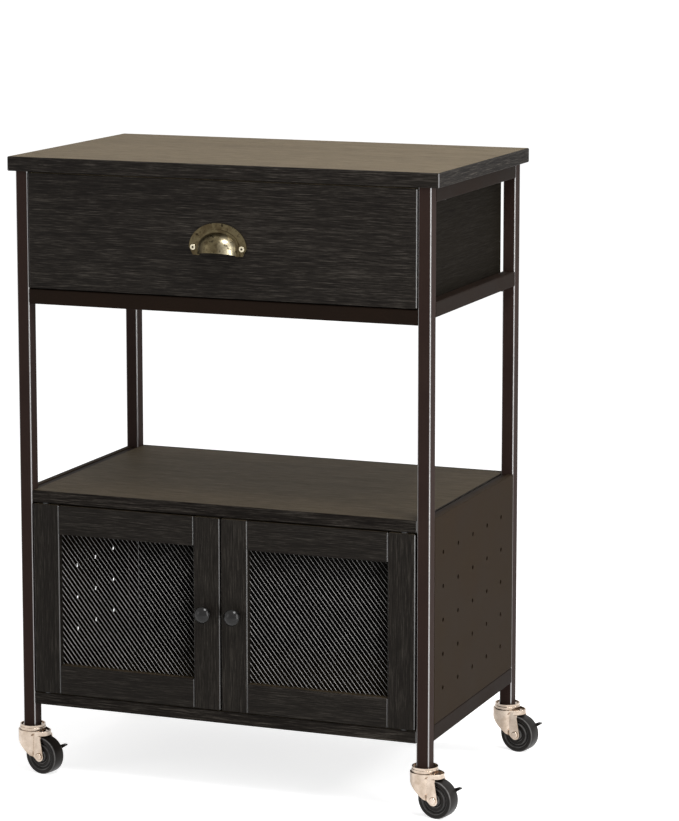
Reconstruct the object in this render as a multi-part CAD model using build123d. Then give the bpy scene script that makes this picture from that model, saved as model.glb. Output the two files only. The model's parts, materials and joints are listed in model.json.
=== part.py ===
from build123d import *
import math
import os

# Coffee bar cart: tube frame on four casters, one drawer, an open bay and a cabinet with two mesh doors.
# Millimetres. X points right, Y to the back, Z up. The origin is on the floor under the top board's centre.

# Top board
board_width = 600.0
board_depth = 360.0
board_thickness = 19.0
cart_height = 830.0
board_edge_bevel = 1.2
board_side_overhang = 11.0
board_front_overhang = 2.0
board_rear_overhang = 4.0

# Frame tubes
leg_width = 17.5
leg_depth = 20.0
rail_height = 20.0
bottom_rail_height = 22.0
tube_wall = 1.2
tube_corner_radius = 2.0
caster_height = 64.5

# Levels: the drawer bay hangs from the top board, the shelves stand up from the floor
drawer_bay_height = 154.5
drawer_rail_drop = 146.0
shelf_top = 387.0
shelf_thickness = 16.0
bottom_shelf_underside = 95.5
shelf_edge_bevel = 0.9
shelf_side_clearance = 0.3
front_setback = 0.5

# Drawer bay panels
bay_panel_thickness = 15.0
bay_panel_rear_gap = 8.0
bay_back_thickness = 5.0
panel_edge_bevel = 0.6

# Drawer
front_thickness = 15.0
front_proud = 1.0
drawer_front_gap = 1.5
drawer_side_gap = 1.0
front_edge_bevel = 1.0
slide_thickness = 12.7
drawer_wall = 12.0
drawer_lift = 15.0
drawer_top_room = 29.5
drawer_rear_room = 8.0
drawer_bottom_thickness = 4.0
drawer_bottom_rise = 10.0
groove_depth = 5.0
groove_clearance = 0.15

# Ball slides
slide_sheet = 1.2
slide_outer_height = 35.0
slide_inner_height = 24.0
slide_lip = 9.5
slide_inner_lip = 8.0
slide_end_inset = 5.0
cage_length = 66.0
cage_sheet = 0.8
cage_web_gap = 0.7
ball_radius = 1.8
ball_pitch = 15.0
balls_per_row = 4
ball_clearance = 0.1

# Cup pull
pull_width = 80.0
pull_height = 42.0
pull_bottom_width = 69.5
pull_screw_height = 10.0
pull_screw_spacing = 68.0
pull_screw_end_wall = 1.2
pull_flange = 2.0
pull_rise = 55.0
dome_half_width = 27.0
dome_crown = 20.5
dome_depth = 22.0
dome_wall = 1.6
dome_edge_rise = 5.5
dome_lip = 0.6
dome_lip_height = 2.2
bead_width = 3.0
bead_height = 1.6

# Doors
door_thickness = 15.0
door_side_gap = 2.0
door_middle_gap = 2.0
door_top_gap = 2.0
door_bottom_gap = 1.5
stile_width = 37.0
door_rail_height = 39.0
door_edge_bevel = 1.0
mesh_thickness = 1.0
mesh_back_inset = 5.0
mesh_edge = 5.0
mesh_strand = 2.6
mesh_pitch_x = 14.0
mesh_pitch_z = 17.8

# Door pivots and catches
pivot_edge_distance = 16.0
pivot_depth = 6.5
pin_radius = 2.0
pin_reach = 8.0
pin_seat = 12.0
pin_running_clearance = 0.05
press_clearance = 0.02
bush_wall = 1.0
bush_flange_radius = 4.5
bush_end_clearance = 0.3
strike_width = 26.0
strike_height = 10.0
strike_thickness = 1.2
strike_edge = 12.0
strike_top_inset = 1.0
catch_width = 30.0
catch_height = 14.0
catch_depth = 20.0
catch_gap = 0.4

# Door knobs
knob_radius = 11.0
knob_projection = 20.0
knob_base_radius = 7.0
knob_base_thickness = 2.0
knob_neck_radius = 4.5
knob_cap_start = 9.0
knob_rim_rise = 5.0
knob_under_bulge = 1.0
knob_stud_radius = 2.0
knob_stud_length = 11.0
knob_edge_distance = 20.0
knob_rise = 129.0

# Perforated side panels
sheet = 1.2
sheet_flange = 8.0
sheet_bend_radius = 1.0
hole_radius = 3.0
hole_pitch_y = 58.0
hole_pitch_z = 44.7
hole_offset_y = -9.0
hole_offset_z = -3.95
hole_margin_y = 16.0
hole_margin_z = 30.0

# Cabinet back panel
back_thickness = 3.0
back_inset = 1.0

# Fasteners
screw_radius = 2.0
screw_head_radius = 3.8
screw_head_height = 2.2
screw_head_round = 0.7
screw_socket_radius = 1.5
screw_socket_depth = 1.4
screw_clearance = 0.05
screw_bite = 10.0
board_screw_spacing = 220.0
panel_screw_spacing = 230.0
shelf_screw_spacing = 200.0
back_screw_columns = 3
back_screw_spacing = 250.0
bracket_length = 30.0
bracket_reach = 24.0
bracket_thickness = 2.0
slide_screw_spacing = 200.0

# Casters
trail_angle = -12.7
trail = 20.0
wheel_radius = 25.0
wheel_width = 20.0
wheel_edge_radius = 2.2
wheel_hub_radius = 7.0
wheel_ring_radius = 12.8
wheel_ring_width = 4.6
wheel_ring_sink = 1.0
wheel_rim_radius = 19.0
wheel_groove_depth = 2.0
wheel_groove_slope = 1.0
axle_radius = 3.0
axle_clearance = 0.05
rivet_head_radius = 4.8
rivet_head_height = 2.4
rivet_head_round = 1.6
fork_rim_top = 58.7
fork_cup_height = 6.2
fork_floor = 4.2
fork_rim_wall = 1.4
fork_rim_round = 0.6
fork_radius = 19.5
fork_sheet = 1.8
fork_side_room = 1.5
fork_fold_front = 8.5
fork_pad_front = 11.0
fork_pad_rear = 22.0
fork_front_edge = 51.5
fork_eye_radius = 7.0
fork_eye_angle = 49.0
fork_notch_middle = 14.5
fork_notch_width = 9.0
fork_notch_height = 4.0
fork_wheel_room = 1.5
lip_center = 14.5
lip_radius = 13.0
race_radius = 17.5
race_gap = 0.3
race_thickness = 5.9
race_edge_radius = 1.0
cap_radius = 17.0
cap_rim_wall = 1.4
cap_rim_height = 1.2
cap_boss_radius = 13.0
cap_groove_depth = 1.4
kingpin_radius = 4.0
kingpin_head_radius = 7.0
kingpin_head_height = 2.0
stem_radius = 4.0
stem_length = 22.0
insert_length = 28.0
insert_clearance = 0.1
brake_thickness = 1.6
brake_eye_radius = 6.0
brake_arm_height = 7.0
brake_tab_rise = 14.5
brake_tab_reach = 27.0
brake_tab_length = 5.0
brake_tab_width = 5.5
brake_side_gap = 0.3

# Places that follow from the sizes above
board_underside = cart_height - board_thickness
drawer_rail_top = board_underside - drawer_rail_drop
cross_rail_top = board_underside - drawer_bay_height
leg_outer_x = board_width / 2 - board_side_overhang
leg_inner_x = leg_outer_x - leg_width
leg_center_x = leg_outer_x - leg_width / 2
frame_front_y = -board_depth / 2 + board_front_overhang
frame_rear_y = board_depth / 2 - board_rear_overhang
front_leg_y = frame_front_y + leg_depth / 2
rear_leg_y = frame_rear_y - leg_depth / 2
rails_front_y = frame_front_y + leg_depth
rails_rear_y = frame_rear_y - leg_depth
shelf_underside = shelf_top - shelf_thickness
bottom_shelf_top = bottom_shelf_underside + shelf_thickness
shelf_front_y = frame_front_y + front_setback
shelf_rear_y = frame_rear_y - back_inset - back_thickness
shelf_half_width = leg_inner_x - shelf_side_clearance
bottom_rail_top = bottom_shelf_underside + bottom_rail_height
shelf_rail_top = shelf_top - sheet
cross_rail_bottom = cross_rail_top - rail_height
bay_inner_x = leg_inner_x - bay_panel_thickness
bay_panel_rear_y = rails_rear_y - bay_panel_rear_gap
bay_back_front_y = bay_panel_rear_y - bay_back_thickness
bay_panel_bottom = drawer_rail_top - rail_height
face_y = frame_front_y - front_proud
front_back_y = face_y + front_thickness
drawer_front_bottom = cross_rail_top + drawer_front_gap
drawer_front_top = board_underside - drawer_front_gap
drawer_outer_x = bay_inner_x - slide_thickness
drawer_inner_x = drawer_outer_x - drawer_wall
drawer_floor = cross_rail_top + drawer_lift
drawer_wall_top = board_underside - drawer_top_room
drawer_rear_y = bay_back_front_y - drawer_rear_room
slide_z = (drawer_floor + drawer_wall_top) / 2
slide_front_y = front_back_y + slide_end_inset
slide_rear_y = drawer_rear_y - slide_end_inset
door_back_y = face_y + door_thickness
door_bottom = bottom_shelf_top + door_bottom_gap
door_top = shelf_underside - door_top_gap
door_outer_x = leg_inner_x - door_side_gap
door_middle_x = door_middle_gap / 2
pivot_x = door_outer_x - pivot_edge_distance
pivot_y = face_y + pivot_depth
bush_radius = pin_radius + pin_running_clearance + bush_wall
fork_inner = wheel_width / 2 + fork_side_room
fork_outer = fork_inner + fork_sheet
fork_cup_bottom = fork_rim_top - fork_cup_height
fork_floor_top = fork_cup_bottom + fork_floor
race_bottom = fork_floor_top + race_gap
race_top = race_bottom + race_thickness


def block(x, y, z):
    """Box between two limits along each axis."""
    sizes = [abs(end - start) for start, end in (x, y, z)]
    middles = [(start + end) / 2 for start, end in (x, y, z)]
    return Pos(*middles) * Box(*sizes)


def bevelled_block(x, y, z, bevel):
    """Box with all its edges bevelled."""
    body = block(x, y, z)
    return chamfer(body.edges(), bevel)


def rod(radius, start, end):
    """Round bar from one point to another."""
    axis = Vector(*end) - Vector(*start)
    plane = Plane(origin=start, z_dir=axis)
    return extrude(plane * Circle(radius), amount=axis.length)


def post(radius, x, y, low, high):
    """Upright round bar between two heights."""
    return rod(radius, (x, y, low), (x, y, high))


def mirrored(shape):
    """The same shape on the other side of the cart's middle."""
    return mirror(shape, about=Plane.YZ)


def save(name, solids):
    """Write one node, as one solid or as a group of separate solids."""
    shape = solids[0] if len(solids) == 1 else Compound(children=list(solids))
    export_step(shape, f"parts/{name}.step")


def tube_section(width, depth):
    """Wall of a rectangular tube with rounded corners."""
    bore_radius = tube_corner_radius - tube_wall
    bore = RectangleRounded(width - 2 * tube_wall, depth - 2 * tube_wall, bore_radius)
    return RectangleRounded(width, depth, tube_corner_radius) - bore


def side_tube(center_x, width, top, height):
    """Tube along Y between a front leg and a rear leg."""
    plane = Plane(origin=(center_x, rails_front_y, top - height / 2), x_dir=(1, 0, 0), z_dir=(0, 1, 0))
    return extrude(plane * tube_section(width, height), amount=rails_rear_y - rails_front_y)


def cross_tube(center_y, top):
    """Tube along X between a left leg and a right leg."""
    plane = Plane(origin=(-leg_inner_x, center_y, top - rail_height / 2), x_dir=(0, 1, 0), z_dir=(1, 0, 0))
    return extrude(plane * tube_section(leg_width, rail_height), amount=2 * leg_inner_x)


def screw(tip, seat):
    """Screw whose head bears on the seat point and whose shank ends at the tip, with a drive socket."""
    outward = (Vector(*seat) - Vector(*tip)).normalized()
    head_end = Vector(*seat) + outward * screw_head_height
    socket_end = head_end - outward * screw_socket_depth
    head = rod(screw_head_radius, seat, tuple(head_end))
    head = fillet(head.faces().sort_by_distance(head_end)[0].edges(), screw_head_round)
    body = rod(screw_radius, tip, seat) + head
    return body - rod(screw_socket_radius, tuple(socket_end), tuple(head_end))


def screw_hole(tip, seat):
    """Room for a screw's shank."""
    return rod(screw_radius + screw_clearance, tip, seat)


def even_places(count, pitch, center):
    """Places in a row, evenly spaced about a centre."""
    return [center + (index - (count - 1) / 2) * pitch for index in range(count)]


def pair(spacing):
    """Two places, half a spacing either side of the middle."""
    return [-spacing / 2, spacing / 2]


# Screw lines on the right side, each as (tip, seat); the left side mirrors them
board_screws = [
    ((leg_center_x, y, board_underside + screw_bite), (leg_center_x, y, board_underside - rail_height))
    for y in pair(board_screw_spacing)
]
bay_screw_ends = (leg_inner_x + tube_wall, bay_inner_x + screw_head_height)
bay_screws = [
    tuple((x, y, rail_top - rail_height / 2) for x in bay_screw_ends)
    for y in pair(panel_screw_spacing)
    for rail_top in (drawer_rail_top, board_underside)
]
bracket_screw_x = shelf_half_width - bracket_reach / 2
shelf_screws = [
    ((bracket_screw_x, y, underside + screw_bite), (bracket_screw_x, y, underside - bracket_thickness))
    for y in pair(shelf_screw_spacing)
    for underside in (shelf_underside, bottom_shelf_underside)
]
back_screw_ends = (shelf_rear_y - screw_bite, shelf_rear_y + back_thickness)
back_screws = [
    tuple((x, y, board_top - shelf_thickness / 2) for y in back_screw_ends)
    for x in even_places(back_screw_columns, back_screw_spacing, 0)
    for board_top in (shelf_top, bottom_shelf_top)
]


def flipped(line):
    """A screw line on the left side of the cart."""
    return tuple((-point[0], point[1], point[2]) for point in line)


def both_sides(lines):
    """Screw lines of the right side and of the left side."""
    return lines + [flipped(line) for line in lines]


def drilled(body, lines):
    """A body with the holes of the given screw lines."""
    for tip, seat in lines:
        body -= screw_hole(tip, seat)
    return body


def top_board():
    """Board that closes the cart at the top."""
    body = bevelled_block(
        (-board_width / 2, board_width / 2),
        (-board_depth / 2, board_depth / 2),
        (board_underside, cart_height),
        board_edge_bevel,
    )
    return drilled(body, both_sides(board_screws))


def leg(x, y):
    """Upright tube from a caster to the top board."""
    section = Pos(x, y, caster_height) * tube_section(leg_width, leg_depth)
    return extrude(section, amount=board_underside - caster_height)


def right_side_rails():
    """The four tubes that join the front and rear legs on the right."""
    shelf_rail_width = leg_width - sheet
    top = side_tube(leg_center_x, leg_width, board_underside, rail_height)
    drawer = side_tube(leg_center_x, leg_width, drawer_rail_top, rail_height)
    middle = side_tube(leg_inner_x + shelf_rail_width / 2, shelf_rail_width, shelf_rail_top, rail_height)
    bottom = side_tube(leg_center_x, leg_width, bottom_rail_top, bottom_rail_height)
    return [drilled(top, board_screws + bay_screws), drilled(drawer, bay_screws), middle, bottom]


def cross_rails():
    """The tubes that join the left and right legs: one in front and two at the back."""
    front_y = frame_front_y + front_setback + leg_width / 2
    return [
        cross_tube(front_y, cross_rail_top),
        cross_tube(rear_leg_y, cross_rail_top),
        cross_tube(rear_leg_y, board_underside),
    ]


def right_bay_panel():
    """Wooden side of the drawer bay, fixed to the inner faces of two side rails."""
    body = bevelled_block(
        (bay_inner_x, leg_inner_x),
        (rails_front_y, bay_panel_rear_y),
        (bay_panel_bottom, board_underside),
        panel_edge_bevel,
    )
    for tip, seat in bay_screws:
        surface = (seat[0] - screw_head_height, seat[1], seat[2])
        body -= screw_hole(tip, seat)
        body -= rod(screw_head_radius + screw_clearance, surface, seat)
    return body


def bay_back_panel():
    """Thin panel that closes the drawer bay at the back, between the bay's sides."""
    return block(
        (-bay_inner_x, bay_inner_x),
        (bay_back_front_y, bay_panel_rear_y),
        (cross_rail_bottom, board_underside),
    )


def hole_places(start, end, offset, margin, pitch):
    """Places along one side of the hole field, as many as fit between the margins."""
    room = end - start - 2 * (margin + abs(offset))
    return even_places(int(room / pitch) + 1, pitch, (start + end) / 2 + offset)


def right_perforated_panel():
    """Folded steel side of the cabinet with a field of hook holes."""
    outer_plane = Plane(origin=(leg_outer_x, 0, 0), x_dir=(0, 1, 0), z_dir=(1, 0, 0))
    corners = [
        (rails_front_y, bottom_rail_top),
        (rails_rear_y, bottom_rail_top),
        (rails_rear_y, shelf_top),
        (rails_front_y, shelf_top),
    ]
    holes = [
        Pos(y, z) * Wire.make_circle(hole_radius)
        for y in hole_places(rails_front_y, rails_rear_y, hole_offset_y, hole_margin_y, hole_pitch_y)
        for z in hole_places(bottom_rail_top, shelf_top, hole_offset_z, hole_margin_z, hole_pitch_z)
    ]
    face = Face(Wire.make_polygon(corners, close=True), holes)
    body = extrude(outer_plane * face, amount=sheet, dir=(-1, 0, 0))
    flange = (leg_outer_x - sheet_flange, leg_outer_x)
    for low in (bottom_rail_top, shelf_top - sheet):
        body += block(flange, (rails_front_y, rails_rear_y), (low, low + sheet))
    bends = [
        edge
        for edge in body.edges().filter_by(Axis.Y)
        if abs(edge.center().X - leg_outer_x) < sheet / 2
    ]
    return fillet(bends, sheet_bend_radius)


def shelf(underside):
    """Board between the legs of one level, screwed from below and to the back panel."""
    body = bevelled_block(
        (-shelf_half_width, shelf_half_width),
        (shelf_front_y, shelf_rear_y),
        (underside, underside + shelf_thickness),
        shelf_edge_bevel,
    )
    return drilled(body, both_sides(shelf_screws) + back_screws)


def pivot_places():
    """Plan places of the left and right door pivots."""
    return [(-pivot_x, pivot_y), (pivot_x, pivot_y)]


def middle_shelf():
    """Floor of the open bay, with pockets for the upper pivot bushes."""
    body = shelf(shelf_underside)
    for x, y in pivot_places():
        body -= post(bush_radius + press_clearance, x, y, shelf_underside, shelf_underside + pin_reach)
    return body


def bottom_shelf():
    """Floor of the cabinet, with pockets for the lower pivot bushes."""
    body = shelf(bottom_shelf_underside)
    for x, y in pivot_places():
        body -= post(bush_radius + press_clearance, x, y, bottom_shelf_top - pin_reach, bottom_shelf_top)
    return body


def cabinet_back_panel():
    """Thin panel across the rear edges of both shelves."""
    body = block(
        (-shelf_half_width, shelf_half_width),
        (shelf_rear_y, shelf_rear_y + back_thickness),
        (bottom_shelf_underside, shelf_top),
    )
    return drilled(body, back_screws)


def pivot_bush(x, y, seat_z, inward, gap):
    """Flanged bush in a shelf; inward is the way from the seat into the shelf."""
    deep_z = seat_z + inward * pin_reach
    flange_z = seat_z - inward * (gap - bush_end_clearance)
    body = post(bush_radius, x, y, seat_z, deep_z)
    body += post(bush_flange_radius, x, y, seat_z, flange_z)
    return body - post(pin_radius + pin_running_clearance, x, y, flange_z, deep_z)


def pivot_bushes():
    """Upper and lower bushes of both doors."""
    bushes = []
    for x, y in pivot_places():
        bushes.append(pivot_bush(x, y, shelf_underside, 1, door_top_gap))
        bushes.append(pivot_bush(x, y, bottom_shelf_top, -1, door_bottom_gap))
    return bushes


def catch_span():
    """Left and right limits of the right door's catch."""
    middle = door_middle_x + strike_edge + strike_width / 2
    return (middle - catch_width / 2, middle + catch_width / 2)


def right_catch():
    """Magnetic catch under the middle shelf, just behind the right door's plate."""
    front = door_back_y + strike_thickness + catch_gap
    return bevelled_block(
        catch_span(),
        (front, front + catch_depth),
        (shelf_underside - catch_height, shelf_underside),
        panel_edge_bevel,
    )


def right_shelf_brackets():
    """Tabs on the right side rails that carry the ends of both shelves."""
    tabs = []
    for y in pair(shelf_screw_spacing):
        span = (y - bracket_length / 2, y + bracket_length / 2)
        inner = shelf_half_width - bracket_reach
        for underside, outer in ((shelf_underside, leg_inner_x), (bottom_shelf_underside, leg_center_x)):
            tab = block((inner, outer), span, (underside - bracket_thickness, underside))
            tabs.append(drilled(tab, shelf_screws))
    return tabs


def right_cabinet_member():
    """Outer channel of the ball slide, on the right bay panel."""
    length = (slide_front_y, slide_rear_y)
    low = slide_z - slide_outer_height / 2
    high = slide_z + slide_outer_height / 2
    lip = (bay_inner_x - slide_lip, bay_inner_x)
    body = block((bay_inner_x - slide_sheet, bay_inner_x), length, (low, high))
    body += block(lip, length, (low, low + slide_sheet))
    body += block(lip, length, (high - slide_sheet, high))
    return body


def slide_screw_lines():
    """Screws that hold the right drawer member to the drawer's side."""
    middle = (slide_front_y + slide_rear_y) / 2
    seat_x = drawer_outer_x + slide_sheet
    tip_x = drawer_outer_x - drawer_wall / 2
    places = even_places(2, slide_screw_spacing, middle)
    return [((tip_x, y, slide_z), (seat_x, y, slide_z)) for y in places]


def right_drawer_member():
    """Inner channel of the ball slide, on the drawer's right side."""
    length = (slide_front_y, slide_rear_y)
    low = slide_z - slide_inner_height / 2
    high = slide_z + slide_inner_height / 2
    lip = (drawer_outer_x, drawer_outer_x + slide_inner_lip)
    body = block((drawer_outer_x, drawer_outer_x + slide_sheet), length, (low, high))
    body += block(lip, length, (low, low + slide_sheet))
    body += block(lip, length, (high - slide_sheet, high))
    return drilled(body, slide_screw_lines())


def right_ball_cage():
    """Folded strip that keeps two rows of balls between the slide's channels."""
    middle_y = (slide_front_y + slide_rear_y) / 2
    length = (middle_y - cage_length / 2, middle_y + cage_length / 2)
    web_x = drawer_outer_x + slide_inner_lip + cage_web_gap
    row_x = drawer_outer_x + slide_inner_lip - ball_radius
    gap_middle = (slide_outer_height / 2 - slide_sheet + slide_inner_height / 2) / 2
    half = gap_middle + cage_sheet / 2
    body = block((web_x, web_x + cage_sheet), length, (slide_z - half, slide_z + half))
    balls = []
    for row_z in (slide_z - gap_middle, slide_z + gap_middle):
        strip_z = (row_z - cage_sheet / 2, row_z + cage_sheet / 2)
        body += block((row_x - 2 * ball_radius, web_x + cage_sheet), length, strip_z)
        for y in even_places(balls_per_row, ball_pitch, middle_y):
            body -= rod(ball_radius + ball_clearance, (row_x, y, strip_z[0]), (row_x, y, strip_z[1]))
            balls.append(Pos(row_x, y, row_z) * Sphere(ball_radius))
    return [body] + balls


def leg_insert(x, y):
    """Plug in a leg's end that holds the caster's stem."""
    width = leg_width - 2 * tube_wall - 2 * insert_clearance
    depth = leg_depth - 2 * tube_wall - 2 * insert_clearance
    plug = RectangleRounded(width, depth, tube_corner_radius - tube_wall)
    body = extrude(Pos(x, y, caster_height) * plug, amount=insert_length)
    return body - post(stem_radius + insert_clearance, x, y, caster_height, caster_height + insert_length)


def caster_stem(x, y):
    """Dished cap, race and kingpin that stay with the leg."""
    head_top = fork_cup_bottom - race_gap
    cap_top = caster_height + cap_rim_height
    body = post(race_radius, x, y, race_bottom, race_top)
    body = fillet(body.edges(), race_edge_radius)
    cap = post(cap_radius, x, y, race_top, cap_top)
    dish = post(cap_radius - cap_rim_wall, x, y, caster_height - cap_groove_depth, cap_top)
    body += cap - dish + post(cap_boss_radius, x, y, race_top, caster_height)
    body += post(kingpin_radius, x, y, head_top, race_bottom)
    body += post(kingpin_head_radius, x, y, head_top - kingpin_head_height, head_top)
    body += post(stem_radius, x, y, race_top, caster_height + stem_length)
    return body


def drawer_front():
    """Front board of the drawer, inset between the front legs."""
    half = leg_inner_x - drawer_side_gap
    span = (drawer_front_bottom, drawer_front_top)
    body = bevelled_block((-half, half), (face_y, front_back_y), span, front_edge_bevel)
    panel = drawer_bottom_panel(groove_clearance)
    return drilled(body - panel, pull_screw_lines())


def drawer_bottom_panel(extra):
    """Floor of the drawer, in grooves of the boards around it; extra widens it for the grooves."""
    low = drawer_floor + drawer_bottom_rise - extra
    half = drawer_inner_x + groove_depth
    return block(
        (-half, half),
        (front_back_y - groove_depth, drawer_rear_y),
        (low, low + drawer_bottom_thickness + 2 * extra),
    )


def right_drawer_side():
    """Right wall of the drawer box."""
    body = bevelled_block(
        (drawer_inner_x, drawer_outer_x),
        (front_back_y, drawer_rear_y),
        (drawer_floor, drawer_wall_top),
        panel_edge_bevel,
    )
    return drilled(body - drawer_bottom_panel(groove_clearance), slide_screw_lines())


def drawer_back():
    """Rear wall of the drawer box, standing on the drawer's floor."""
    low = drawer_floor + drawer_bottom_rise + drawer_bottom_thickness
    return block(
        (-drawer_inner_x, drawer_inner_x),
        (drawer_rear_y - drawer_wall, drawer_rear_y),
        (low, drawer_wall_top),
    )


pull_bottom = drawer_front_bottom + pull_rise


def pull_screw_lines():
    """Screws that hold the cup pull to the drawer front."""
    z = pull_bottom + pull_screw_height
    tip_y = front_back_y - pull_screw_end_wall
    return [((x, tip_y, z), (x, face_y - pull_flange, z)) for x in pair(pull_screw_spacing)]


def pull_face(half_width, height, foot_width):
    """Outline on the drawer's face: a half ellipse above the screws and straight sides down to a foot."""
    plane = Plane(origin=(0, face_y, pull_bottom), x_dir=(1, 0, 0), z_dir=(0, -1, 0))
    arch = EllipticalCenterArc((0, pull_screw_height), half_width, height, arc_size=180)
    foot = Polyline(arch @ 1, (-foot_width / 2, 0), (foot_width / 2, 0), arch @ 0)
    return plane * make_face(arch + foot)


def dome_body(inset):
    """The dome, moved inwards by an inset: half an ellipsoid above the screws and a column below them."""
    half = dome_half_width - inset
    depth = dome_depth - inset
    middle = pull_bottom + pull_screw_height
    ball = Pos(0, face_y, middle) * scale(Sphere(1), by=(half, depth, dome_crown - inset))
    room = (-pull_width, pull_width)
    crown = ball & block(room, (face_y - pull_width, face_y + pull_width), (middle, middle + pull_height))
    foot = Pos(0, face_y, pull_bottom - pull_screw_height) * Ellipse(half, depth)
    return crown + extrude(foot, amount=2 * pull_screw_height, dir=(0, 0, 1))


def under_dome(lift):
    """Room under the dome's edge, which rises towards the front; lift moves it up."""
    reach = 2 * dome_depth
    low = pull_bottom - pull_height
    slope = Polygon(
        (face_y + reach, low),
        (face_y + reach, pull_bottom + lift - 2 * dome_edge_rise),
        (face_y - reach, pull_bottom + lift + 2 * dome_edge_rise),
        (face_y - reach, low),
        align=None,
    )
    return extrude(Plane.YZ * slope, amount=pull_width, both=True)


def cup_pull():
    """Cup-shaped pull: a rim plate, a raised bead and a hollow dome open below, with a lip round its edge."""
    bead_half = dome_half_width + bead_width
    rim = pull_face(pull_width / 2, pull_height - pull_screw_height, pull_bottom_width)
    bead = pull_face(bead_half, dome_crown + bead_width, 2 * bead_half)
    front = block(
        (-pull_width, pull_width), (face_y - pull_width, face_y), (pull_bottom, pull_bottom + pull_height)
    )
    lip = dome_body(-dome_lip) & under_dome(dome_lip_height)
    dome = ((dome_body(0) + lip) & front) - under_dome(0)
    body = extrude(rim, amount=pull_flange, dir=(0, -1, 0))
    body += extrude(bead, amount=pull_flange + bead_height, dir=(0, -1, 0))
    body = body + dome - dome_body(dome_wall)
    return drilled(body, pull_screw_lines())


def door_outline():
    """Limits of the right door along X and Z."""
    return (door_middle_x, door_outer_x), (door_bottom, door_top)


def right_door_mesh_sheet():
    """Plain sheet as large as the mesh with its edges, for the grooves."""
    x, z = door_outline()
    back = door_back_y - mesh_back_inset
    return block(
        (x[0] + stile_width - mesh_edge, x[1] - stile_width + mesh_edge),
        (back - mesh_thickness, back),
        (z[0] + door_rail_height - mesh_edge, z[1] - door_rail_height + mesh_edge),
    )


def right_door_mesh():
    """Expanded metal: staggered diamond gaps in a thin sheet."""
    box = right_door_mesh_sheet().bounding_box()
    middle_x = (box.min.X + box.max.X) / 2
    middle_z = (box.min.Z + box.max.Z) / 2
    half_x = box.size.X / 2 - mesh_edge
    half_z = box.size.Z / 2 - mesh_edge
    gap_x = mesh_pitch_x / 2 - mesh_strand / 2
    gap_z = mesh_pitch_z / 2 - mesh_strand / 2
    rows = 2 * int((half_z - gap_z) / (mesh_pitch_z / 2)) + 1
    gaps = []
    for row, z in enumerate(even_places(rows, mesh_pitch_z / 2, 0)):
        columns = 2 * int((half_x - gap_x) / mesh_pitch_x) + 1
        for x in even_places(columns - row % 2, mesh_pitch_x, 0):
            diamond = [(x - gap_x, z), (x, z - gap_z), (x + gap_x, z), (x, z + gap_z)]
            gaps.append(Wire.make_polygon(diamond, close=True))
    outline = Wire.make_rect(box.size.X, box.size.Z)
    plane = Plane(origin=(middle_x, box.max.Y, middle_z), x_dir=(1, 0, 0), z_dir=(0, -1, 0))
    return extrude(plane * Face(outline, gaps), amount=mesh_thickness, dir=(0, -1, 0))


def pin_spans():
    """Lower and upper ends of a door's two pivot pins."""
    return [
        (door_bottom - door_bottom_gap - pin_reach + bush_end_clearance, door_bottom + pin_seat),
        (door_top - pin_seat, door_top + door_top_gap + pin_reach - bush_end_clearance),
    ]


def right_door_pins():
    """Pivot pins in the ends of the outer stile."""
    return [post(pin_radius, pivot_x, pivot_y, low, high) for low, high in pin_spans()]


def right_door_stiles():
    """Upright members of the door frame, from edge to edge."""
    x, z = door_outline()
    depth = (face_y, door_back_y)
    stiles = []
    for low in (x[0], x[1] - stile_width):
        body = bevelled_block((low, low + stile_width), depth, z, door_edge_bevel)
        body -= right_door_mesh_sheet()
        stiles.append(body)
    inner = stiles[0] - rod(knob_stud_radius + press_clearance, knob_foot(), knob_stud_end())
    outer = stiles[1]
    for low, high in pin_spans():
        outer -= post(pin_radius + press_clearance, pivot_x, pivot_y, low, high)
    return [inner, outer]


def right_door_rails():
    """Level members of the door frame, between the stiles."""
    x, z = door_outline()
    span = (x[0] + stile_width, x[1] - stile_width)
    rails = []
    for low in (z[0], z[1] - door_rail_height):
        height = (low, low + door_rail_height)
        body = bevelled_block(span, (face_y, door_back_y), height, door_edge_bevel)
        rails.append(body - right_door_mesh_sheet())
    return rails


def right_strike_plate():
    """Steel plate behind the door's upper inner corner, for the magnet."""
    low = door_middle_x + strike_edge
    top = door_top - strike_top_inset
    return block(
        (low, low + strike_width), (door_back_y, door_back_y + strike_thickness), (top - strike_height, top)
    )


def knob_foot():
    """Point on the right door's face where its knob stands."""
    return (door_middle_x + knob_edge_distance, face_y, door_bottom + knob_rise)


def knob_stud_end():
    """End of the knob's stud inside the stile."""
    foot = knob_foot()
    return (foot[0], foot[1] + knob_stud_length, foot[2])


def right_knob():
    """Mushroom knob with its stud."""
    neck_start = knob_base_thickness
    profile = Polyline(
        (0, knob_projection),
        (0, -knob_stud_length),
        (knob_stud_radius, -knob_stud_length),
        (knob_stud_radius, 0),
        (knob_base_radius, 0),
        (knob_base_radius, neck_start),
        (knob_neck_radius, neck_start + knob_base_thickness / 2),
        (knob_neck_radius, knob_cap_start),
    )
    rim_z = knob_cap_start + knob_rim_rise
    under = ThreePointArc(
        (knob_neck_radius, knob_cap_start),
        ((knob_neck_radius + knob_radius) / 2 + knob_under_bulge, knob_cap_start + knob_under_bulge),
        (knob_radius, rim_z),
    )
    crown_height = knob_projection - rim_z
    crown_radius = (knob_radius**2 + crown_height**2) / (2 * crown_height)
    crown_angle = math.degrees(math.asin(knob_radius / crown_radius))
    crown = CenterArc((0, knob_projection - crown_radius), crown_radius, 90 - crown_angle, crown_angle)
    section = make_face(profile + under + crown)
    turned = revolve(section, Axis.Y, 360)
    return Plane(origin=knob_foot(), x_dir=(1, 0, 0), z_dir=(0, 0, -1)) * turned


def caster_place(x, y):
    """Moves a caster's own frame under a leg: its X runs along the trail and its Y along the axle."""
    return Pos(x, y, 0) * Rot(0, 0, trail_angle)


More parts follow.
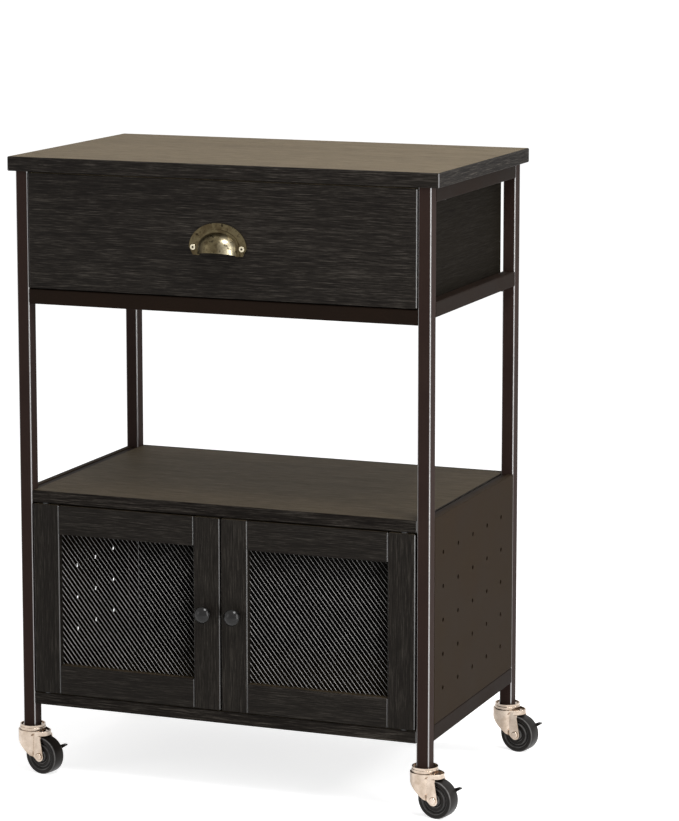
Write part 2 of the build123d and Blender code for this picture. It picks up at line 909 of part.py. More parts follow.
def axle_bar(radius, start, end):
    """Round bar along the axle's line, in the caster's own frame."""
    return rod(radius, (trail, start, wheel_radius), (trail, end, wheel_radius))


def fork_wall(reach):
    """Plan of the fork's wall: a round apron in front that folds into flat pads beside the wheel."""
    fold_angle = math.degrees(math.acos(fork_fold_front / fork_radius))
    apron = CenterArc((0, 0), fork_radius, fold_angle, 360 - 2 * fold_angle)
    near_pad = [(fork_pad_front, -fork_outer), (reach, -fork_outer)]
    far_pad = [(reach, fork_outer), (fork_pad_front, fork_outer)]
    outer = make_face(apron + Polyline(apron @ 1, *near_pad, *far_pad, apron @ 0))
    return outer - offset(outer, amount=-fork_sheet)


def fork_side_shape():
    """Side view of the fork's wall, from the apron's edge down to the axle eyes."""
    front = -fork_radius - fork_sheet
    eye_angle = math.radians(fork_eye_angle)
    outline = Polygon(
        (front, fork_front_edge),
        (
            trail - fork_eye_radius * math.cos(eye_angle),
            wheel_radius - fork_eye_radius * math.sin(eye_angle),
        ),
        (trail + fork_eye_radius, wheel_radius),
        (fork_pad_rear, fork_cup_bottom),
        (front, fork_cup_bottom),
        align=None,
    )
    return outline + Pos(trail, wheel_radius) * Circle(fork_eye_radius)


def fork_plan(inset):
    """Plan of the fork's cup, moved inwards by an inset: round about the kingpin, with a lip over the wheel."""
    front = Circle(fork_radius - inset)
    lip = Pos(lip_center, 0) * Circle(lip_radius - inset)
    return make_hull((front + lip).edges())


def fork_cup():
    """Shallow cup at the fork's top that the race turns in."""
    body = extrude(Pos(0, 0, fork_cup_bottom) * fork_plan(0), amount=fork_cup_height)
    body -= extrude(Pos(0, 0, fork_floor_top) * fork_plan(fork_rim_wall), amount=fork_cup_height)
    rim = body.faces().sort_by(Axis.Z)[-1]
    return fillet(rim.outer_wire().edges(), fork_rim_round)


def fork_notches(reach):
    """Arched recesses in the cup's sides, above the pads."""
    arch = EllipticalCenterArc(
        (fork_notch_middle, fork_cup_bottom), fork_notch_width / 2, fork_notch_height, arc_size=180
    )
    profile = make_face(arch + Line(arch @ 1, arch @ 0))
    slot = extrude(Plane.XZ * profile, amount=reach, both=True)
    return slot - block((0, reach), (-fork_outer, fork_outer), (0, fork_rim_top))


def fork():
    """Stamped caster fork with a cup on top, a round apron and two side pads."""
    reach = fork_radius + trail + fork_eye_radius
    wall = extrude(fork_wall(reach), amount=fork_cup_bottom)
    side = extrude(Plane.XZ * fork_side_shape(), amount=reach, both=True)
    body = fork_cup() - fork_notches(reach) + (wall & side)
    body -= axle_bar(wheel_radius + fork_wheel_room, -fork_inner, fork_inner)
    body -= post(kingpin_radius + axle_clearance, 0, 0, fork_cup_bottom, fork_floor_top)
    return body - axle_bar(axle_radius + axle_clearance, -reach, reach)


def axle():
    """Rivet through the fork's eyes, with a domed head on each side."""
    tail = fork_outer + brake_side_gap + brake_thickness + brake_side_gap
    body = axle_bar(axle_radius, -fork_outer, tail)
    near_head = axle_bar(rivet_head_radius, -fork_outer - rivet_head_height, -fork_outer)
    far_head = axle_bar(rivet_head_radius, tail, tail + rivet_head_height)
    body += fillet(near_head.edges().sort_by(Axis.Y)[0], rivet_head_round)
    body += fillet(far_head.edges().sort_by(Axis.Y)[-1], rivet_head_round)
    return body


def wheel():
    """Solid wheel with rounded shoulders and ring grooves in both faces."""
    half = wheel_width / 2
    low = half - wheel_groove_depth
    ring_top = half - wheel_ring_sink
    ring_inner = wheel_ring_radius - wheel_ring_width / 2
    ring_outer = wheel_ring_radius + wheel_ring_width / 2
    face = [
        (axle_radius + axle_clearance, half),
        (wheel_hub_radius, half),
        (wheel_hub_radius + wheel_groove_slope, low),
        (ring_inner - wheel_groove_slope, low),
        (ring_inner, ring_top),
        (ring_outer, ring_top),
        (ring_outer + wheel_groove_slope, low),
        (wheel_rim_radius - wheel_groove_slope, low),
        (wheel_rim_radius, half),
        (wheel_radius, half),
    ]
    mirrored_face = [(r, -w) for r, w in reversed(face)]
    section = make_face(Polyline(*face, *mirrored_face, close=True))
    shoulders = section.vertices().sort_by(Axis.X)[-2:]
    section = fillet(shoulders, wheel_edge_radius)
    return Pos(trail, 0, wheel_radius) * revolve(section, Axis.Y, 360)


def brake_lever():
    """Foot lever on the far side of the fork, with a tab behind the wheel."""
    near = fork_outer + brake_side_gap
    far = near + brake_thickness
    tab_front = trail + brake_tab_reach - brake_tab_length
    tab_rear = trail + brake_tab_reach
    tab_z = wheel_radius + brake_tab_rise
    half = brake_arm_height / 2
    arm = Polygon(
        (trail, wheel_radius - half),
        (tab_rear, tab_z - brake_thickness / 2),
        (tab_rear, tab_z + brake_thickness / 2),
        (tab_front, tab_z + brake_thickness / 2),
        (trail - half, wheel_radius + half),
        align=None,
    )
    plan = arm + Pos(trail, wheel_radius) * Circle(brake_eye_radius)
    plane = Plane(origin=(0, far, 0), x_dir=(1, 0, 0), z_dir=(0, -1, 0))
    body = extrude(plane * plan, amount=brake_thickness)
    tab_z_span = (tab_z - brake_thickness / 2, tab_z + brake_thickness / 2)
    body += block((tab_front, tab_rear), (far - brake_tab_width, far), tab_z_span)
    return body - axle_bar(axle_radius + axle_clearance, near, far)


def save_frame():
    """Everything that stays with the frame."""
    legs = {
        "front_left": (-leg_center_x, front_leg_y),
        "front_right": (leg_center_x, front_leg_y),
        "rear_left": (-leg_center_x, rear_leg_y),
        "rear_right": (leg_center_x, rear_leg_y),
    }
    save("top_board", [top_board()])
    for name, (x, y) in legs.items():
        save(f"{name}_leg", [leg(x, y)])
    rails = right_side_rails()
    save("right_side_rails", rails)
    save("left_side_rails", [mirrored(rail) for rail in rails])
    save("cross_rails", cross_rails())
    save("right_bay_panel", [right_bay_panel()])
    save("left_bay_panel", [mirrored(right_bay_panel())])
    save("bay_back_panel", [bay_back_panel()])
    save("right_perforated_panel", [right_perforated_panel()])
    save("left_perforated_panel", [mirrored(right_perforated_panel())])
    save("middle_shelf", [middle_shelf()])
    save("bottom_shelf", [bottom_shelf()])
    save("cabinet_back_panel", [cabinet_back_panel()])
    save("pivot_bushes", pivot_bushes())
    save("magnetic_catches", [right_catch(), mirrored(right_catch())])
    brackets = right_shelf_brackets()
    save("shelf_brackets", brackets + [mirrored(tab) for tab in brackets])
    save("slide_cabinet_members", [right_cabinet_member(), mirrored(right_cabinet_member())])
    save("leg_inserts", [leg_insert(x, y) for x, y in legs.values()])
    save("caster_stems", [caster_stem(x, y) for x, y in legs.values()])
    lines = both_sides(board_screws + bay_screws + shelf_screws) + back_screws
    save("frame_screws", [screw(tip, seat) for tip, seat in lines])
    return legs


def save_drawer():
    """The drawer and the cages that run between the slides' channels."""
    save("drawer_front", [drawer_front()])
    save("drawer_right_side", [right_drawer_side()])
    save("drawer_left_side", [mirrored(right_drawer_side())])
    save("drawer_back", [drawer_back()])
    save("drawer_bottom", [drawer_bottom_panel(0)])
    save("slide_drawer_members", [right_drawer_member(), mirrored(right_drawer_member())])
    save("cup_pull", [cup_pull()])
    lines = pull_screw_lines() + both_sides(slide_screw_lines())
    save("drawer_screws", [screw(tip, seat) for tip, seat in lines])
    cage = right_ball_cage()
    save("slide_ball_cages", cage + [mirrored(piece) for piece in cage])


def save_doors():
    """Both doors; the left one mirrors the right one."""
    pieces = {
        "stiles": right_door_stiles(),
        "rails": right_door_rails(),
        "mesh": [right_door_mesh()],
        "knob": [right_knob()],
        "pivot_pins": right_door_pins(),
        "strike_plate": [right_strike_plate()],
    }
    for name, solids in pieces.items():
        save(f"right_door_{name}", solids)
        save(f"left_door_{name}", [mirrored(solid) for solid in solids])


def save_casters(legs):
    """Four casters, all turned the same way."""
    pieces = {"fork": fork(), "axle": axle(), "wheel": wheel(), "brake_lever": brake_lever()}
    for corner, (x, y) in legs.items():
        for name, solid in pieces.items():
            save(f"{corner}_caster_{name}", [caster_place(x, y) * solid])


os.makedirs("parts", exist_ok=True)
corners = save_frame()
save_drawer()
save_doors()
save_casters(corners)
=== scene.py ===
import bmesh
import bpy
import json
import math
from mathutils import Matrix, Vector


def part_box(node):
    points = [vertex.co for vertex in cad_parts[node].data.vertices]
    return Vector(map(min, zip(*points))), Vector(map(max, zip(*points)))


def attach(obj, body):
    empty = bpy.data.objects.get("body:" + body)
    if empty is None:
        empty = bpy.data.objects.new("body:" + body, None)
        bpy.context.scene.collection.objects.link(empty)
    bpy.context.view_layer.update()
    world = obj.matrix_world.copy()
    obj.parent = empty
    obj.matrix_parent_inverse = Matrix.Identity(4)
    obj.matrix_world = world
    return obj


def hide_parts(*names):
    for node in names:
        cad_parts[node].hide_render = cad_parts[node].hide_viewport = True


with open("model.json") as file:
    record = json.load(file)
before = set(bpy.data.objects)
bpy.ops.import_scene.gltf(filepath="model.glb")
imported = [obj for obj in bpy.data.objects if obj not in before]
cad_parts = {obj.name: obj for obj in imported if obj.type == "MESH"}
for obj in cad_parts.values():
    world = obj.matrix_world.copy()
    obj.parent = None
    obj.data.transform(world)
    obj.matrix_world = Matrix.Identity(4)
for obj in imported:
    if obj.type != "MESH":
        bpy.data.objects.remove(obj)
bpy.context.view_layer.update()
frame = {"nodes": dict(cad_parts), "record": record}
nodes = frame["nodes"]

# Coffee bar cart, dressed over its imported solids. Metres; X to the right, Y to the back, Z up.

MM = 0.001
CORNERS = ("front_left", "front_right", "rear_left", "rear_right")
# Turn of the casters at rest, in degrees
TRAIL_ANGLE = -12.7
# Screws of the cup pull: distance from its middle, height over its lower edge, drive socket
PULL_SCREW_ASIDE = 34.0 * MM
PULL_SCREW_RISE = 10.0 * MM
SOCKET_RADIUS = 1.5 * MM

# How squarely a face has to face one way to count as a top or an end
SQUARE_ON = 0.9
# Refraction of the hard board foil and of the burnished paint
HARD_IOR = 1.9
BURNISHED_IOR = 2.15
# Shine of burnished board edges
EDGE_SHINE = 0.38
# Warm haze on the tops at a low angle, in dark and in pale grain
TOP_BLOOM = (0.145, 0.33)
# The shelves' copy has weaker haze and shine than the top: painted shade for the shade they lie in.
SHELF_SHADED_BLOOM = (0.045, 0.09)
STILE_BLOOM = (0.05, 0.10)
NO_BLOOM = (0.0, 0.0)
# How plain the grain is, from nought to one
DOOR_CALM = 0.35
BAY_CALM = 0.90
BAY_SHINE = 0.008
# Direction that the mesh strands' flanks with painted highlight face
LIT_FLANK_X = 0.78
LIT_FLANK_Z = 0.62


# Shader building

def add(tree, kind, inputs=None, **settings):
    """One shader node, with its settings and with values or links on its inputs."""
    made = tree.nodes.new(kind)
    for name, value in settings.items():
        setattr(made, name, value)
    for name, value in (inputs or {}).items():
        if isinstance(value, bpy.types.NodeSocket):
            tree.links.new(value, made.inputs[name])
        else:
            made.inputs[name].default_value = value
    return made


def start_material(name):
    """Empty node material; gives back the material and its tree."""
    material = bpy.data.materials.new(name)
    material.use_nodes = True
    material.node_tree.nodes.clear()
    return material, material.node_tree


def finish_material(tree, inputs):
    """Principled surface with the given values and links."""
    surface = add(tree, "ShaderNodeBsdfPrincipled", inputs)
    output = add(tree, "ShaderNodeOutputMaterial")
    tree.links.new(surface.outputs["BSDF"], output.inputs["Surface"])


def place(tree, scale=(1, 1, 1)):
    """Object coordinates, stretched per axis."""
    where = add(tree, "ShaderNodeTexCoord")
    mapping = add(tree, "ShaderNodeMapping", {"Vector": where.outputs["Object"], "Scale": scale})
    return mapping.outputs["Vector"]


def noise(tree, vector, scale, detail=3.0, roughness=0.55, distortion=0.0):
    """Cloudy values between 0 and 1."""
    made = add(tree, "ShaderNodeTexNoise", {
        "Vector": vector, "Scale": scale, "Detail": detail, "Roughness": roughness, "Distortion": distortion,
    })
    return made.outputs["Fac"]


def ramp(tree, factor, stops):
    """Colour or grey read from a factor; stops are (place, value) pairs."""
    made = add(tree, "ShaderNodeValToRGB", {"Fac": factor})
    elements = made.color_ramp.elements
    while len(elements) < len(stops):
        elements.new(0.5)
    for element, (where, value) in zip(elements, stops):
        element.position = where
        element.color = (*value, 1.0) if isinstance(value, tuple) else (value, value, value, 1.0)
    return made.outputs["Color"]


def mix(tree, factor, first, second):
    """Two colours mixed by a factor."""
    made = add(tree, "ShaderNodeMix", data_type="RGBA")
    sockets = {"Factor": made.inputs[0], "A": made.inputs[6], "B": made.inputs[7]}
    for name, value in (("Factor", factor), ("A", first), ("B", second)):
        if isinstance(value, bpy.types.NodeSocket):
            tree.links.new(value, sockets[name])
        elif name == "Factor":
            sockets[name].default_value = value
        else:
            sockets[name].default_value = (*value, 1.0)
    return made.outputs[2]


def calc(tree, operation, first, second=0.0):
    """Arithmetic on two values."""
    made = add(tree, "ShaderNodeMath", {0: first, 1: second}, operation=operation)
    return made.outputs[0]


def bump(tree, height, strength, distance, under=None):
    """Normal raised by a height pattern."""
    inputs = {"Height": height, "Strength": strength, "Distance": distance}
    if under is not None:
        inputs["Normal"] = under
    return add(tree, "ShaderNodeBump", inputs).outputs["Normal"]


# Finishes

def grain(tree, long_axis):
    """Oak grain that runs along one axis: slow tone, streaks, fine lines and short pores."""
    def stretched(along, across):
        return place(tree, tuple(along if axis == long_axis else across for axis in "xyz"))

    tone = noise(tree, stretched(1.6, 17.0), 1.0, 3.0, 0.5, 0.4)
    streaks = noise(tree, stretched(8.0, 260.0), 1.0, 3.0, 0.6, 0.5)
    fine = noise(tree, stretched(30.0, 1000.0), 1.0, 3.0, 0.75, 0.3)
    pores = noise(tree, stretched(30.0, 800.0), 1.0, 1.0, 0.5)
    body = calc(tree, "ADD", calc(tree, "MULTIPLY", streaks, 0.20), calc(tree, "MULTIPLY", tone, 0.10))
    body = calc(tree, "ADD", body, calc(tree, "MULTIPLY", fine, 0.70))
    return body, pores


def facing(tree):
    """How far a surface faces each way of its own piece, as three values."""
    normal = add(tree, "ShaderNodeTexCoord").outputs["Normal"]
    return add(tree, "ShaderNodeSeparateXYZ", {"Vector": normal}).outputs


def upright_edge(tree, ways):
    """One on the bevels and rounded corners that run upright, nought elsewhere."""
    least = calc(tree, "MINIMUM", calc(tree, "ABSOLUTE", ways["X"]), calc(tree, "ABSOLUTE", ways["Y"]))
    return ramp(tree, least, [(0.22, 0.0), (0.40, 1.0)])


def between(tree, factor, low, high):
    """Value that runs from low to high with a factor."""
    return calc(tree, "ADD", calc(tree, "MULTIPLY", factor, high - low), low)


def oak(name, long_axis, end_axis, calm=0.0, shine=0.050, bloom=TOP_BLOOM):
    """Black oak laminate with painted light on its tops, a lighter and browner base colour on upward faces,
    and burnished edges.

    end_axis is the grain's way on the ends, calm runs from full grain contrast to plain, shine is
    that of the flat faces, and bloom is the warm haze of the tops at a low angle, from dark to pale grain.
    """
    material, tree = start_material(name)
    ways = facing(tree)
    edge = upright_edge(tree, ways)
    on_end = calc(tree, "GREATER_THAN", calc(tree, "ABSOLUTE", ways["xyz".index(long_axis)]), SQUARE_ON)
    side_body, side_pores = grain(tree, long_axis)
    end_body, end_pores = grain(tree, end_axis)
    body = mix(tree, on_end, side_body, end_body)
    pores = mix(tree, on_end, side_pores, end_pores)
    dark = ramp(tree, body, [
        (0.40, (0.0030, 0.0020, 0.0014)), (0.48, (0.0080, 0.0060, 0.0045)),
        (0.54, (0.0190, 0.0158, 0.0128)), (0.62, (0.0620, 0.0535, 0.0450)),
    ])
    dark = mix(tree, calm, dark, (0.0095, 0.0078, 0.0056))
    # Painted light: upward faces take this lighter, browner colour in place of the dark one.
    painted_top_light = ramp(tree, body, [
        (0.38, (0.0190, 0.0130, 0.0068)), (0.50, (0.0350, 0.0250, 0.0140)), (0.64, (0.0660, 0.0490, 0.0290)),
    ])
    on_top = calc(tree, "GREATER_THAN", ways["Z"], SQUARE_ON)
    color = mix(tree, on_top, dark, painted_top_light)
    open_pores = ramp(tree, pores, [(0.58, 0.0), (0.70, 1.0)])
    color = mix(tree, calc(tree, "MULTIPLY", open_pores, 0.55), color, (0.0040, 0.0028, 0.0022))
    haze = ramp(tree, body, [(0.40, bloom[0]), (0.62, bloom[1])])
    flat_roughness = ramp(tree, body, [(0.40, 0.74), (0.62, 0.62)])
    relief = calc(tree, "SUBTRACT", body, calc(tree, "MULTIPLY", open_pores, 0.5))
    finish_material(tree, {
        "Base Color": color,
        "Roughness": calc(tree, "SUBTRACT", flat_roughness, calc(tree, "MULTIPLY", edge, 0.36)),
        "IOR": HARD_IOR,
        "Specular IOR Level": between(tree, edge, shine, EDGE_SHINE),
        "Sheen Weight": calc(tree, "MULTIPLY", on_top, haze),
        "Sheen Roughness": 0.42,
        "Sheen Tint": (1.0, 0.80, 0.52, 1.0),
        "Normal": bump(tree, relief, 0.22, 0.0004),
    })
    return material


def powder_coat(name, dark, light, roughness, level=0.022, grain_size=900.0):
    """Powder coat with fine peel and slow tone, burnished on upright corners."""
    material, tree = start_material(name)
    where = place(tree)
    edge = upright_edge(tree, facing(tree))
    cloud = noise(tree, where, 9.0, 4.0, 0.6)
    peel = noise(tree, where, grain_size, 2.0, 0.5)
    speck = noise(tree, where, grain_size * 2.6, 1.0, 0.5)
    color = mix(tree, ramp(tree, cloud, [(0.35, 0.0), (0.68, 1.0)]), dark, light)
    color = mix(tree, ramp(tree, speck, [(0.66, 0.0), (0.76, 0.55)]), color, tuple(2.2 * c for c in light))
    rough = ramp(tree, cloud, [(0.3, roughness - 0.05), (0.7, roughness + 0.06)])
    finish_material(tree, {
        "Base Color": color,
        "Roughness": calc(tree, "SUBTRACT", rough, calc(tree, "MULTIPLY", edge, 0.5 * roughness)),
        "IOR": BURNISHED_IOR,
        "Specular IOR Level": between(tree, edge, level, 1.0),
        "Normal": bump(tree, peel, 0.10, 0.0003),
    })
    return material


def enamel(name, dark, light, roughness, level):
    """Smooth enamel with a faint ripple and slow tone."""
    material, tree = start_material(name)
    where = place(tree)
    cloud = noise(tree, where, 40.0, 4.0, 0.6)
    ripple = noise(tree, where, 420.0, 2.0, 0.5)
    color = mix(tree, ramp(tree, cloud, [(0.35, 0.0), (0.68, 1.0)]), dark, light)
    finish_material(tree, {
        "Base Color": color,
        "Roughness": ramp(tree, cloud, [(0.3, roughness - 0.03), (0.7, roughness + 0.05)]),
        "Specular IOR Level": level,
        "Normal": bump(tree, ripple, 0.05, 0.0002),
    })
    return material


def mesh_with_painted_highlight(name, paint, highlight_color):
    """Black sheet whose strand flanks that lean up and to the right get a painted highlight, a pale base
    colour.
    """
    material, tree = start_material(name)
    where = place(tree)
    cloud = noise(tree, where, 30.0, 4.0, 0.6)
    skin = noise(tree, where, 1600.0, 2.0, 0.5)
    ways = facing(tree)
    # Painted highlight: flanks facing up and to the right, towards the lamps, take a pale colour in patches.
    lean = calc(tree, "ADD", calc(tree, "MULTIPLY", ways["X"], LIT_FLANK_X),
                calc(tree, "MULTIPLY", ways["Z"], LIT_FLANK_Z))
    lit_flank = ramp(tree, lean, [(0.26, 0.0), (0.38, 1.0)])
    painted_highlight = calc(tree, "MULTIPLY", lit_flank, ramp(tree, cloud, [(0.25, 0.65), (0.70, 1.0)]))
    finish_material(tree, {
        "Base Color": mix(tree, painted_highlight, paint, highlight_color),
        "Roughness": ramp(tree, cloud, [(0.3, 0.40), (0.7, 0.52)]),
        "Specular IOR Level": 0.12,
        "Normal": bump(tree, skin, 0.06, 0.0002),
    })
    return material


def antique_brass(name):
    """Brass with a brown-black patina and dark specks, with a painted highlight: a pale brass colour where
    it faces the right hand.
    """
    material, tree = start_material(name)
    where = place(tree)
    patches = noise(tree, where, 75.0, 6.0, 0.68, 0.6)
    spots = noise(tree, where, 230.0, 4.0, 0.6)
    brushed = noise(tree, place(tree, (40, 900, 900)), 1.0, 3.0, 0.6)
    metal = mix(tree, brushed, (0.082, 0.066, 0.034), (0.128, 0.105, 0.060))
    patina = ramp(tree, patches, [(0.44, 0.0), (0.62, 0.80)])
    color = mix(tree, patina, metal, (0.046, 0.032, 0.016))
    # Painted highlight: faces turned towards +X take a pale brass colour.
    right_highlight = ramp(tree, facing(tree)["X"], [(0.20, 0.0), (0.64, 1.0)])
    right_highlight = calc(tree, "MULTIPLY", right_highlight, ramp(tree, patches, [(0.40, 1.0), (0.66, 0.45)]))
    color = mix(tree, right_highlight, color, (0.560, 0.495, 0.340))
    dark_spots = ramp(tree, spots, [(0.58, 0.0), (0.66, 0.90)])
    color = mix(tree, dark_spots, color, (0.014, 0.010, 0.006))
    normal = bump(tree, brushed, 0.05, 0.0002)
    finish_material(tree, {
        "Base Color": color,
        "Metallic": 1.0,
        "Roughness": ramp(tree, patches, [(0.35, 0.25), (0.66, 0.44)]),
        "Normal": bump(tree, spots, 0.16, 0.0004, normal),
    })
    return material


def pull_screw_plate(name, dark, light, socket_shade):
    """Plated screws of the pull, with painted shade, a near-black colour, in their drive sockets."""
    material, tree = start_material(name)
    low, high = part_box("cup_pull")
    where = add(tree, "ShaderNodeSeparateXYZ", {"Vector": place(tree)}).outputs
    from_middle = calc(tree, "ABSOLUTE", calc(tree, "SUBTRACT", where["X"], (low.x + high.x) / 2))
    aside = calc(tree, "SUBTRACT", from_middle, PULL_SCREW_ASIDE)
    above = calc(tree, "SUBTRACT", where["Z"], low.z + PULL_SCREW_RISE)
    apart = calc(tree, "SQRT", calc(tree, "ADD", calc(tree, "MULTIPLY", aside, aside),
                                    calc(tree, "MULTIPLY", above, above)))
    # The socket's edge lies at a quarter of the ramp
    socket = ramp(tree, calc(tree, "DIVIDE", apart, 4 * SOCKET_RADIUS), [(0.20, 1.0), (0.28, 0.0)])
    clouds = noise(tree, place(tree), 240.0, 4.0, 0.6)
    metal = mix(tree, ramp(tree, clouds, [(0.35, 0.0), (0.7, 1.0)]), dark, light)
    finish_material(tree, {
        # Painted shade: the drive sockets are coloured near black.
        "Base Color": mix(tree, socket, metal, socket_shade),
        "Metallic": 1.0,
        "Roughness": ramp(tree, clouds, [(0.3, 0.20), (0.7, 0.32)]),
        "Normal": bump(tree, clouds, 0.05, 0.0002),
    })
    return material


def plated(name, dark, light, roughness, brush=(300, 300, 1500)):
    """Plated steel with faint brushing and dull clouds."""
    material, tree = start_material(name)
    clouds = noise(tree, place(tree), 60.0, 4.0, 0.6)
    brushed = noise(tree, place(tree, brush), 1.0, 2.0, 0.6)
    color = mix(tree, ramp(tree, clouds, [(0.35, 0.0), (0.7, 1.0)]), dark, light)
    rough = ramp(tree, clouds, [(0.3, roughness - 0.05), (0.72, roughness + 0.09)])
    finish_material(tree, {
        "Base Color": color,
        "Metallic": 1.0,
        "Roughness": rough,
        "Normal": bump(tree, brushed, 0.06, 0.0002),
    })
    return material


def moulded(name, dark, light, roughness, level=0.5):
    """Black moulded plastic with a fine matt skin and scuffs."""
    material, tree = start_material(name)
    where = place(tree)
    clouds = noise(tree, where, 45.0, 5.0, 0.65)
    skin = noise(tree, where, 1400.0, 2.0, 0.5)
    color = mix(tree, ramp(tree, clouds, [(0.38, 0.0), (0.70, 1.0)]), dark, light)
    rough = ramp(tree, clouds, [(0.3, roughness - 0.06), (0.7, roughness + 0.08)])
    finish_material(tree, {
        "Base Color": color,
        "Roughness": rough,
        "Specular IOR Level": level,
        "Normal": bump(tree, skin, 0.10, 0.0002),
    })
    return material


def wheel_skin(name, dark, light, ridge_highlight):
    """Black moulded wheel, with a painted highlight, a pale grey, on the eased ridges between its flat face
    and its tread.
    """
    material, tree = start_material(name)
    where = place(tree)
    clouds = noise(tree, where, 45.0, 5.0, 0.65)
    skin = noise(tree, where, 1400.0, 2.0, 0.5)
    ways = facing(tree)
    trail = math.radians(TRAIL_ANGLE)
    axial = calc(tree, "ADD", calc(tree, "MULTIPLY", ways["X"], -math.sin(trail)),
                 calc(tree, "MULTIPLY", ways["Y"], math.cos(trail)))
    # Painted highlight: the eased ridges take a pale grey in patches.
    lit_ridge = ramp(tree, calc(tree, "ABSOLUTE", axial), [(0.22, 0.0), (0.45, 1.0), (0.80, 1.0), (0.94, 0.0)])
    lit_ridge = calc(tree, "MULTIPLY", lit_ridge, ramp(tree, clouds, [(0.30, 0.35), (0.62, 1.0)]))
    color = mix(tree, ramp(tree, clouds, [(0.38, 0.0), (0.70, 1.0)]), dark, light)
    finish_material(tree, {
        "Base Color": mix(tree, lit_ridge, color, ridge_highlight),
        "Roughness": ramp(tree, clouds, [(0.3, 0.30), (0.7, 0.42)]),
        "Specular IOR Level": 0.14,
        "Normal": bump(tree, skin, 0.10, 0.0002),
    })
    return material


def board_skin(name, dark, light):
    """Plain black foil on drawer boards and back panels, with a fibre texture."""
    material, tree = start_material(name)
    fibres = noise(tree, place(tree, (60, 260, 260)), 1.0, 4.0, 0.6)
    clouds = noise(tree, place(tree), 7.0, 3.0, 0.5)
    color = mix(tree, ramp(tree, fibres, [(0.35, 0.0), (0.7, 1.0)]), dark, light)
    rough = ramp(tree, clouds, [(0.3, 0.58), (0.7, 0.72)])
    finish_material(tree, {
        "Base Color": color,
        "Roughness": rough,
        "Specular IOR Level": 0.12,
        "Normal": bump(tree, fibres, 0.10, 0.0003),
    })
    return material


oak_level = oak("black_oak_level", "x", "y")
oak_deep = oak("black_oak_deep", "y", "x", BAY_CALM, BAY_SHINE)
oak_upright = oak("black_oak_upright", "z", "x", DOOR_CALM, bloom=STILE_BLOOM)
# Painted shade: dimmer copy of the top's oak for the shelves.
shaded_oak_shelf = oak("black_oak_shelf_painted_shade", "x", "y", shine=0.035, bloom=SHELF_SHADED_BLOOM)
oak_rail = oak("black_oak_rail", "x", "y", DOOR_CALM, bloom=NO_BLOOM)
# Painted shade: a darker copy of the tube paint for the cross rails and side rails, for the shade they lie
# in.
shaded_rail_paint = powder_coat("shaded_rail_paint", (0.0082, 0.0042, 0.0022), (0.0120, 0.0064, 0.0036), 0.68)
black_zinc = plated("black_zinc", (0.020, 0.017, 0.015), (0.034, 0.030, 0.027), 0.42)
finishes = {
    "black_oak": oak_level,
    "black_oak_upright": oak_upright,
    "drawer_board": board_skin("drawer_foil", (0.014, 0.012, 0.011), (0.024, 0.021, 0.019)),
    "backer_board": board_skin("backer_foil", (0.016, 0.014, 0.012), (0.028, 0.024, 0.021)),
    "frame_paint": powder_coat("tube_paint", (0.0235, 0.0132, 0.0106), (0.0305, 0.0182, 0.0147), 0.66),
    "panel_paint": powder_coat(
        "side_sheet_paint", (0.0200, 0.0128, 0.0072), (0.0260, 0.0170, 0.0098), 0.76, 0.02),
    "mesh_paint": mesh_with_painted_highlight("mesh_paint", (0.0030, 0.0028, 0.0026), (0.35, 0.34, 0.33)),
    "antique_brass": antique_brass("antique_brass"),
    "satin_nickel": plated("satin_nickel", (0.400, 0.315, 0.245), (0.640, 0.545, 0.460), 0.20),
    "wheel_black": wheel_skin(
        "wheel_plastic", (0.0085, 0.0070, 0.0060), (0.0160, 0.0130, 0.0108), (0.170, 0.165, 0.160)),
    "brake_black": enamel("lever_paint", (0.012, 0.010, 0.009), (0.020, 0.017, 0.015), 0.40, 0.30),
    "knob_black": enamel("knob_enamel", (0.0050, 0.0043, 0.0040), (0.0084, 0.0074, 0.0067), 0.19, 0.30),
    "zinc_steel": plated("zinc_plate", (0.500, 0.500, 0.485), (0.660, 0.660, 0.640), 0.34),
    "bright_nickel": pull_screw_plate(
        "screw_plate", (0.58, 0.52, 0.38), (0.74, 0.68, 0.52), (0.030, 0.024, 0.014)),
    "nylon": moulded("black_nylon", (0.012, 0.012, 0.012), (0.020, 0.020, 0.020), 0.50),
}
own_finishes = {
    "left_bay_panel": oak_deep,
    "right_bay_panel": oak_deep,
    "middle_shelf": shaded_oak_shelf,
    "bottom_shelf": shaded_oak_shelf,
    "left_door_rails": oak_rail,
    "right_door_rails": oak_rail,
    "left_side_rails": shaded_rail_paint,
    "right_side_rails": shaded_rail_paint,
    "cross_rails": shaded_rail_paint,
    "frame_screws": black_zinc,
}

slot_of = {part["node"]: part["material_slot"] for part in frame["record"]["subparts"]}
for node_name, node_object in nodes.items():
    node_object.data.materials.clear()
    node_object.data.materials.append(own_finishes.get(node_name, finishes[slot_of[node_name]]))


# Mesh building

def piece(name, mesh_data, slot, body, replaced=()):
    """A finished piece at the origin: its finish, its body and the solids that it stands for."""
    mesh = bpy.data.meshes.new(name)
    mesh_data.to_mesh(mesh)
    mesh_data.free()
    made = bpy.data.objects.new(name, mesh)
    bpy.context.scene.collection.objects.link(made)
    mesh.materials.append(finishes[slot])
    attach(made, body)
    if replaced:
        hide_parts(*replaced)
    return made


def turn(bm, angle, axis):
    """Whole shape turned about an axis through the origin, in degrees."""
    matrix = Matrix.Rotation(math.radians(angle), 3, axis)
    bmesh.ops.rotate(bm, verts=bm.verts, cent=(0, 0, 0), matrix=matrix)


def smooth(made, angle=40.0):
    """Smooth shading that keeps the edges sharper than an angle."""
    made.data.shade_smooth()
    with bpy.context.temp_override(object=made, selected_editable_objects=[made], active_object=made):
        bpy.ops.object.shade_smooth_by_angle(angle=math.radians(angle))


# Expanded metal in the doors

MESH_PITCH_X = 6.68 * MM
MESH_PITCH_Z = 8.37 * MM
STRAND = 0.5 * MM
STRAND_SHEET = 0.35 * MM
STRAND_LEAN = 0.8 * MM
MESH_MARGIN = 4.2 * MM


